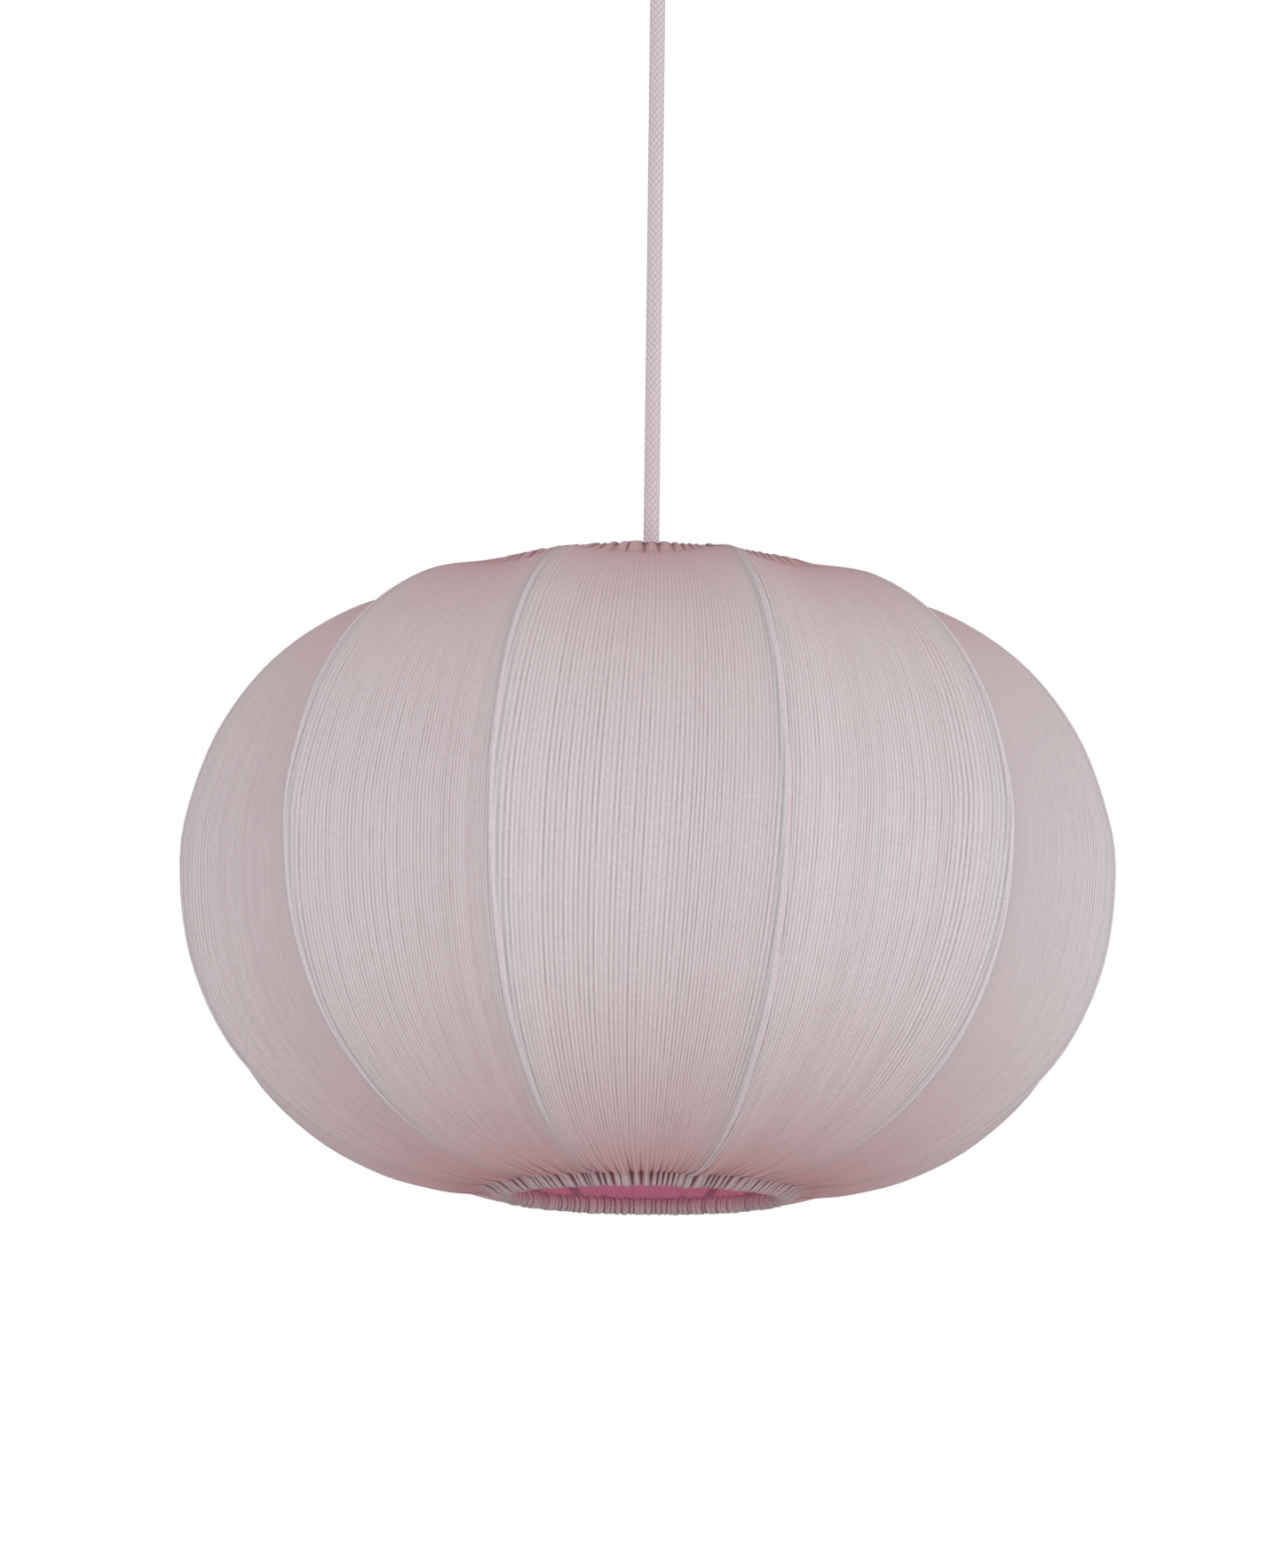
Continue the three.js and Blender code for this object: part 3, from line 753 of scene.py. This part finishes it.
def cover_points(rows, across):
    """Azimuth, radius and height of the cover without its gathers, and each point's distance to a rib."""
    ribs = np.array([azimuth_of(n) for n in RIB_NODES])
    ribs = np.append(ribs, ribs[0] + 2 * math.pi)
    knots = np.arange(len(ribs)) * GATHERS_PER_PANEL
    once_round = across % GATHERS
    azimuth = np.interp(once_round, knots, ribs)
    panel = np.clip((once_round // GATHERS_PER_PANEL).astype(int), 0, len(RIB_NODES) - 1)
    part = once_round / GATHERS_PER_PANEL - panel
    half = (ribs[panel + 1] - ribs[panel]) / 2
    chord = np.cos(half) / np.cos((2 * part - 1) * half)
    r = rows["line"][:, 0][:, None]
    z = rows["line"][:, 1][:, None]
    share = rows["share"][:, None]
    widest = max(radius for radius, _ in OUTLINE) * MM
    flat = r * (1 - chord) * share
    sink = PANEL_DIP * (r / widest)**1.6 * 4 * part * (1 - part) * share
    depth = flat + sink
    soft = (np.sqrt(depth**2 + RIDGE**2) - RIDGE) / np.maximum(depth, 1e-9)
    out_r = rows["outward"][:, 0][:, None]
    out_z = rows["outward"][:, 1][:, None]
    from_rib = np.minimum(part, 1 - part) * 2 * half * r
    return azimuth, r - (flat + sink * out_r) * soft, z - sink * out_z * soft, from_rib


def gather_shapes(fold_at, free, edges):
    """How high each point stands in its gather, from 0 in a deep gap to 1, and how puffed the gather is."""
    nearest_gap = np.round(fold_at).astype(int) % GATHERS
    in_fold = np.floor(fold_at).astype(int) % GATHERS
    deep = random.random(GATHERS) < 0.6
    deep_gap = random.uniform(0.75, 1.0, GATHERS)
    shallow_gap = random.uniform(0.1, 0.4, GATHERS)
    gap_depth = np.where(deep, deep_gap, shallow_gap)[nearest_gap]
    width = np.diff(edges[GATHERS:2 * GATHERS + 1])
    puffed = (np.clip(width, 0.6, 1.6) * random.uniform(0.75, 1.2, GATHERS))[in_fold]
    hump = np.abs(np.sin(math.pi * fold_at))**(0.75 + free)
    return 1 - (1 - hump) * gap_depth, puffed**0.5


def store_cloth(cover, rows, thread, fold_at, hump, from_rib):
    """Keeps at the cover's points what cover_material reads.

    fold_at and cord_at count gathers and cords round the shade. along, near and from_rib are distances
    down the cloth, to the nearer ring and to the nearer rib. The others go from 0 to 1: beside a rib,
    gathered, in the cavity between two pleats, and wrapped round the bottom ring.
    """
    ones = np.ones_like(thread)
    at_bottom = rows["at_bottom"][:, None]
    near = np.minimum(rows["from_top"], rows["from_bottom"])[:, None]
    # How crowded the cloth is, most near the rings. The cover paints it darker and pinker there, partly as
    # painted shade and painted pink inner light.
    crowded = 0.9 * np.exp(-((near / (75 * MM))**1.25)) * (0.6 + 0.4 * smooth_step(near, 0.5 * MM, 6 * MM))
    beyond = rows["beyond"][:, None]
    tucked = smooth_step(beyond, 9 * MM, 15 * MM)
    narrow = smooth_step(beyond, 1 * MM, 9 * MM)
    # How deep a point sits in the gap between gathers, where the cover paints shade.
    closed = smooth_step(1 - hump, 0.02 + 0.1 * narrow, 0.36 + 0.4 * narrow)
    strength = np.where(rows["hem"][:, None], 1 - 0.6 * tucked, np.exp(-near / (8 * MM)))
    stored = {
        "fold_at": fold_at,
        "cord_at": CORDS_PER_GATHER * (0.45 * fold_at + 0.55 * thread),
        "along": rows["run"][:, None] * ones,
        "near": near * ones,
        "from_rib": from_rib,
        # also places the painted shade beside each rib
        "beside": np.exp(-((from_rib / (9 * MM))**2)) * smooth_step(near, 3 * MM, 25 * MM),
        "gathered": crowded * (0.82 + 0.18 * at_bottom) * ones,
        "cavity": closed * strength,
        "wrapped": tucked * ones,
    }
    for name, values in stored.items():
        store(cover, name, values)


def make_cover():
    rows = cloth_rows()
    around, edges = gather_edges()
    across = columns_at(rows, around, edges)
    r = rows["line"][:, 0][:, None]
    lap = across[:, -1:] + np.array(SEAM_LAP) / (2 * math.pi * r) * GATHERS
    across = np.hstack([across, lap])
    lift = np.zeros(across.shape[1])
    lift[-len(SEAM_LAP):] = LAP_LIFT
    lift[-len(SEAM_LAP) - 1] = 0.7 * LAP_LIFT

    thread = across + TWIST * rows["at_bottom"][:, None]
    fold_at = np.interp(thread, edges, around)
    hump, puffed = gather_shapes(fold_at, rows["free"][:, None], edges)
    height = fold_depths(rows)[:, None] * (hump * puffed - 0.5) + lift
    azimuth, radius, z, from_rib = cover_points(rows, across)
    radius = radius + height * rows["outward"][:, 0][:, None]
    z = z + height * rows["outward"][:, 1][:, None]
    points = polar(azimuth, radius, z)
    cover = mesh_object("shade_cover", points.reshape(-1, 3), grid_faces(*across.shape), COTTON)
    store_cloth(cover, rows, thread, fold_at, hump, from_rib)

    place(cover, "fabric_cover")
    seam = make_seam(points[:, -len(SEAM_LAP):], rows)


def make_seam(lap, rows):
    """Two rows of sewing thread down the lap that closes the cover, on its first and third column."""
    inside = ~rows["hem"]
    thread_r = 0.24 * MM
    stitch = 2.4 * MM
    dip = 0.09 * MM
    threads = []
    for column in (0, 2):
        line = lap[inside, column]
        outward = line - (0, 0, EQUATOR_Z)
        outward /= np.linalg.norm(outward, axis=1, keepdims=True)
        line = smooth_line(line + outward * 0.1 * MM, count=700)
        threads.append(tube_points(
            line, thread_r, 6, lambda a, d: 0 * a - dip * math.cos(math.pi * d / stitch)**8))
    count, sides = threads[0].shape[:2]
    one = grid_faces(count, sides, close_columns=True) + end_faces(count, sides)
    faces = one + [[count * sides + corner for corner in face] for face in one]
    seam = turned_out(mesh_object("seam_stitches", np.vstack(threads).reshape(-1, 3), faces, COTTON_THREAD))
    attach(seam, "pendant")
    return seam


# ---- Wire frame ---------------------------------------------------------------------------------
def make_frame():
    outline = np.array(OUTLINE) * MM + (0, EQUATOR_Z)
    over_rib = smooth_line(outline, count=90)
    inner = over_rib - outward_of(over_rib) * RIB_DEPTH
    inner = inner[inner[:, 0] > TOP_RING[0] + 5 * MM]
    top_end = TOP_RING + np.array((2.4, -1.7)) * MM
    low_end = BOTTOM_RING + np.array([(13.5, 4.5), (6, 4.8), (0.9, 3)]) * MM
    inner = np.vstack([top_end, inner, low_end])
    for node in RIB_NODES:
        azimuth = np.full(len(inner), azimuth_of(node))
        path = smooth_line(polar(azimuth, inner[:, 0], inner[:, 1]), count=110)
        place(tube("wire_" + node, path, RIB_WIRE_R, WIRE), node)
    steps = 160
    turn = np.arange(steps) * 2 * math.pi / steps
    for node, ring in (("top_ring", TOP_RING), ("bottom_ring", BOTTOM_RING)):
        path = polar(turn, np.full(steps, ring[0]), ring[1])
        place(tube("wire_" + node, path, RING_WIRE_R, WIRE, closed=True), node)
    r, z = smooth_line(np.array(ARM_LINE) * MM + (0, EQUATOR_Z), count=48).T
    for node in ARM_NODES:
        azimuth = np.full(len(r), azimuth_of(node))
        place(tube("wire_" + node, polar(azimuth, r, z), RIB_WIRE_R, WIRE), node)


# ---- Lamp holder, bulb and ceiling fitting ------------------------------------------------------
LAMP_THREAD_PITCH = 3.6 * MM


def turned_on(node, name, profile, material, edge=0.3 * MM, segments=72, relief=None):
    """A solid of revolution in a node's place. The profile is in millimetres from the node's lowest point."""
    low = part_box(node)[0].z
    loop = np.array(profile) * MM + (0, low)
    return place(turned(name, loop, material, edge, segments, relief), node)


def flutes(count, depth, least_r):
    """Grooves down a knob or ring, where it is wider than least_r."""
    def relief(angle, loop):
        groove = max(0.0, math.cos(count * angle))**3
        return -depth * groove * (loop[:, 0] > least_r)
    return relief


def thread(pitch, depth, least_r, most_r, low, high):
    """A screw thread on the points between two radii and two heights."""
    def relief(angle, loop):
        on = (loop[:, 0] > least_r) & (loop[:, 0] < most_r)
        fade = smooth_step(loop[:, 1], low, low + pitch) * smooth_step(-loop[:, 1], -high, pitch - high)
        return depth * on * fade * np.cos(2 * math.pi * loop[:, 1] / pitch - angle)
    return relief


def upright(r, low, high, step):
    """Points up a straight side, close enough together to carry a thread."""
    return [(r, z) for z in np.arange(low, high, step)] + [(r, high)]


def make_holder():
    outer = [(22.5, 6), (22.1, 9), (21, 12.5), (19.2, 17), (16.5, 22)]
    outer += [(13.5, 26.2), (10, 29.4), (7.6, 30.6), (6.6, 31)]
    inner = [(4.4, 31), (4.4, 28.5), (8.6, 27.5), (14.6, 20.5), (19, 11), (20.2, 5.5)]
    dome = [(20.2, 0), (22.5, 0), *outer, *inner]
    turned_on("holder_cap", "holder_dome", dome, HOLDER_PLASTIC, 0.5 * MM, 96)
    grip = [(3.7, 0), (7, 0), (7, 5.7), (6, 7.2), (5.2, 11.7), (3.7, 11.7)]
    turned_on("holder_cord_grip", "holder_cable_grip", grip, HOLDER_PLASTIC, 0.5 * MM, 120,
              flutes(20, 0.3 * MM, 6.5 * MM))
    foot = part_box("holder_body")[0].z
    side = upright(19.5, 17, 37, 0.5)
    body = [(15.6, 0), (19.7, 0), (19.7, 16), *side, (19.2, 38.8), (6, 38.8), (6, 35.8), (15.6, 35.8)]
    turned_on("holder_body", "holder_barrel", body, HOLDER_PLASTIC, 0.5 * MM, 96,
              thread(2.5 * MM, 0.2 * MM, 19.3 * MM, 19.6 * MM, foot + 17 * MM, foot + 37 * MM))
    disc = [(0, 0), (9, 0), (9.6, 0.6), (12, 0.6), (12.6, 0), (15.2, 0), (15.2, 4), (0, 4)]
    turned_on("holder_insert", "porcelain_insert", disc, PORCELAIN, 0.4 * MM)
    foot, tall = foot_and_height("threaded_shell")
    wall = upright(14.75, 0.6, tall - 0.6, 0.45)
    lining = [(r - 0.7, z) for r, z in reversed(wall)]
    shell = [(14.6, 0), *wall, (14.6, tall), (13.9, tall), *lining, (13.9, 0)]
    turned_on("threaded_shell", "lamp_thread", shell, BRASS, 0.1 * MM, 72,
              thread(LAMP_THREAD_PITCH, 0.32 * MM, 13 * MM, 15 * MM, foot, foot + tall * MM))
    place(refined("centre_contact", "contact_leaf", BRASS, 0.25 * MM), "centre_contact")
    nut = [(20, 0), (23, 0), (24, 3), (27.5, 4.5), (27.5, 7), (20, 7)]
    turned_on("shade_ring", "shade_nut_ring", nut, HOLDER_PLASTIC, 0.5 * MM, 192,
              flutes(32, 0.4 * MM, 26 * MM))
    washer = [(20.4, 0), (29, 0), (29, 1.6), (20.4, 1.6)]
    turned_on("hub_plate", "hub_washer", washer, WIRE, 0.5 * MM, 96)


def make_bulb():
    contact = [(0, 0), (4, 0), (4, 1.4), (3, 2), (0, 2)]
    turned_on("bulb_tip_contact", "bulb_tip", contact, CAP_METAL, 0.4 * MM, 48)
    _, tall = foot_and_height("bulb_tip_insulator")
    button = [(0, 0), (10, 0), (4.5, tall), (0, tall)]
    turned_on("bulb_tip_insulator", "bulb_glass_button", button, INSULATOR, 0.4 * MM, 48)
    foot, tall = foot_and_height("bulb_screw_cap")
    side = upright(12.65, 0.6, tall - 1.6, 0.4)
    cap = [(0, 0), (12.4, 0), *side, (10.8, tall), (0, tall)]
    turned_on("bulb_screw_cap", "bulb_thread", cap, CAP_METAL, 0.15 * MM, 72,
              thread(LAMP_THREAD_PITCH, 0.5 * MM, 12.6 * MM, 13 * MM, foot, foot + (tall - 1) * MM))
    housing = [(0, 0), (27, 0), (26.2, 2.6), (24, 6), (20.6, 11.4)]
    housing += [(17, 17), (14.8, 19.8), (13.2, 22), (0, 22)]
    turned_on("bulb_housing", "bulb_collar", housing, BULB_PLASTIC, 0.5 * MM, 96)
    bulb_r = 30
    wall = 1.4
    _, neck = foot_and_height("bulb_globe")
    turn = np.linspace(0, math.pi / 2, 20)
    shells = []
    for thick in (0, wall):
        r = bulb_r - thick
        ball = [(r * math.cos(t), bulb_r - r * math.sin(t)) for t in turn]
        shells.append([(27 - thick, neck), (28.4 - thick, neck - 4.5), (29.4 - thick, neck - 11), *ball])
    globe = [*shells[0], *reversed(shells[1])]
    turned_on("bulb_globe", "bulb_opal_globe", globe, OPAL, 0.2 * MM, 96)


def make_screw(node, name, axis, material):
    """A screw with a slotted end, along X or Z, in a node's place."""
    low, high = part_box(node)
    centre = (low + high) / 2
    half = (high - low) / 2
    ahead = Vector((1, 0, 0)) if axis == "X" else Vector((0, 0, 1))
    reach = half.x if axis == "X" else half.z
    r = half.y
    edge = 0.25 * MM
    upper = [(r, reach - edge), (r - edge, reach), (0, reach)]
    lower = [(across, -up) for across, up in reversed(upper)]
    screw = turned(name, lower + upper, material, 0.1 * MM, 32)
    depth = 0.5 * MM
    half_slot = 0.3 * MM
    end = reach if axis == "X" else -reach
    cut(screw, block((-half_slot, -2 * r, end - depth), (half_slot, 2 * r, end + depth)))
    turn = Vector((0, 0, 1)).rotation_difference(ahead).to_matrix().to_4x4()
    screw.data.transform(Matrix.Translation(centre) @ turn)
    screw.data.materials.clear()
    screw.data.materials.append(material)
    place(screw, node)


def make_ceiling_fitting():
    place(refined("ceiling_plate", "ceiling_disc", ZINC, 0.4 * MM), "ceiling_plate")
    low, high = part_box("ceiling_hook")
    wire_r = 2 * MM
    bend = 7 * MM
    centre = low.z + wire_r + bend
    turn = np.linspace(math.pi, 2 * math.pi, 40)
    arc = np.stack([bend * np.cos(turn), 0 * turn, centre + bend * np.sin(turn)], axis=1)
    line = np.vstack([(-bend, 0, high.z), (-bend, 0, centre + 3 * MM), arc, (bend, 0, centre + 4 * MM)])
    line = smooth_line(line, count=110)
    reach = line_length(line)

    def tip(angles, distance):
        near_end = np.clip((distance - reach + wire_r) / wire_r, 0, 1)
        return 0 * angles - wire_r * (1 - math.sqrt(max(1 - near_end**2, 0.02)))

    place(tube("hook_wire", line, wire_r, ZINC, 24, tip), "ceiling_hook")
    place(refined("terminal_block", "terminal_housing", TERMINAL_PLASTIC, 0.7 * MM), "terminal_block")
    for node in ("terminal_screw_1", "terminal_screw_2"):
        make_screw(node, node.replace("screw", "clamp_screw"), "Z", BRASS)


def make_cup():
    _, tall = foot_and_height("ceiling_cup")
    cup_r = 50
    wall = 1.5
    shoulder = 14
    hole = 5.4
    turn = np.linspace(0, math.pi / 2, 16)
    side = cup_r - shoulder
    inset = shoulder - wall
    outer = [(side + shoulder * math.cos(t), shoulder - shoulder * math.sin(t)) for t in turn]
    inner = [(side + inset * math.cos(t), shoulder - inset * math.sin(t)) for t in turn]
    loop = [(cup_r, tall), *outer, (hole, 0), (hole, wall), *reversed(inner), (cup_r - wall, tall)]
    turned_on("ceiling_cup", "cup_shell", loop, CUP_PLASTIC, 0.5 * MM, 144)
    _, neck = foot_and_height("cup_cord_grip")
    collar = [(3.7, 0), (5.6, 0), (8, 5), (8, 17.7), (5.1, 17.7), (5.1, neck), (3.7, neck)]
    grip = turned_on("cup_cord_grip", "cup_cable_grip", collar, CUP_PLASTIC, 0.4 * MM, 72)
    low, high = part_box("cup_grip_screw")
    across = np.linspace(3 * MM, 12 * MM, 4)
    bore_line = np.stack([across, 0 * across, 0 * across + (low.z + high.z) / 2], axis=1)
    cut(grip, tube("cutter", bore_line, 1.9 * MM, None, 24))
    place(refined("cup_grip_nut", "cup_nut", CUP_PLASTIC, 0.5 * MM), "cup_grip_nut")
    make_screw("cup_grip_screw", "cup_clamp_screw", "X", ZINC)


# ---- Room ---------------------------------------------------------------------------------------
def area_light(name, place_at, target, size, power):
    """A soft light that faces a point, with its width and height in metres and its power in watts."""
    light = bpy.data.objects.new(name, bpy.data.lights.new(name, "AREA"))
    light.data.shape = "RECTANGLE"
    light.data.size, light.data.size_y = size
    light.data.energy = power
    light.location = place_at
    light.rotation_mode = "QUATERNION"
    light.rotation_quaternion = (Vector(target) - Vector(place_at)).to_track_quat("-Z", "Y")
    bpy.context.scene.collection.objects.link(light)


def make_room():
    """Pale floor, white surroundings and soft light from the front and both sides."""
    world = bpy.data.worlds.new("studio")
    bpy.context.scene.world = world
    world.use_nodes = True
    tree = world.node_tree
    tree.nodes.clear()
    seen = tree.nodes.new("ShaderNodeBackground")
    seen.inputs["Strength"].default_value = 1.0
    lighting = tree.nodes.new("ShaderNodeBackground")
    lighting.inputs["Strength"].default_value = 0.58
    for background in (seen, lighting):
        background.inputs["Color"].default_value = (1, 1, 1, 1)
    mix = tree.nodes.new("ShaderNodeMixShader")
    tree.links.new(tree.nodes.new("ShaderNodeLightPath").outputs["Is Camera Ray"], mix.inputs[0])
    tree.links.new(lighting.outputs[0], mix.inputs[1])
    tree.links.new(seen.outputs[0], mix.inputs[2])
    tree.links.new(mix.outputs[0], tree.nodes.new("ShaderNodeOutputWorld").inputs["Surface"])

    middle = (0, 0, EQUATOR_Z)
    hem = (0, 0, EQUATOR_Z - 0.13)
    area_light("front_softbox", (0.5, -2.6, EQUATOR_Z + 0.2), middle, (2.4, 1.6), 32)
    area_light("low_softbox", (0, -2.0, EQUATOR_Z - 0.55), hem, (2.0, 0.3), 10)
    area_light("left_softbox", (-2.45, 0.1, EQUATOR_Z), middle, (1.6, 1.6), 17.5)
    area_light("right_softbox", (2.45, -0.1, EQUATOR_Z), middle, (1.6, 1.6), 19)

    g = Graph("pale_floor")
    grain = g.noise(g.position(), 3.0, 4.0)
    tone = g.mix(grain, (0.88, 0.88, 0.88), (0.91, 0.91, 0.91))
    pale = g.surface(g.node("BsdfPrincipled", {"Base Color": tone, "Roughness": 0.8}))
    half = 90
    floor_z = -3.2
    corners = [(-half, -half, floor_z), (half, -half, floor_z), (half, half, floor_z), (-half, half, floor_z)]
    mesh_object("floor", corners, [(0, 1, 2, 3)], pale)
    bpy.context.scene.view_settings.view_transform = "Standard"


# ---- Making it all ------------------------------------------------------------------------------
make_camera()
make_cable()
make_cover()
make_frame()
make_holder()
make_bulb()
make_ceiling_fitting()
make_cup()
make_room()
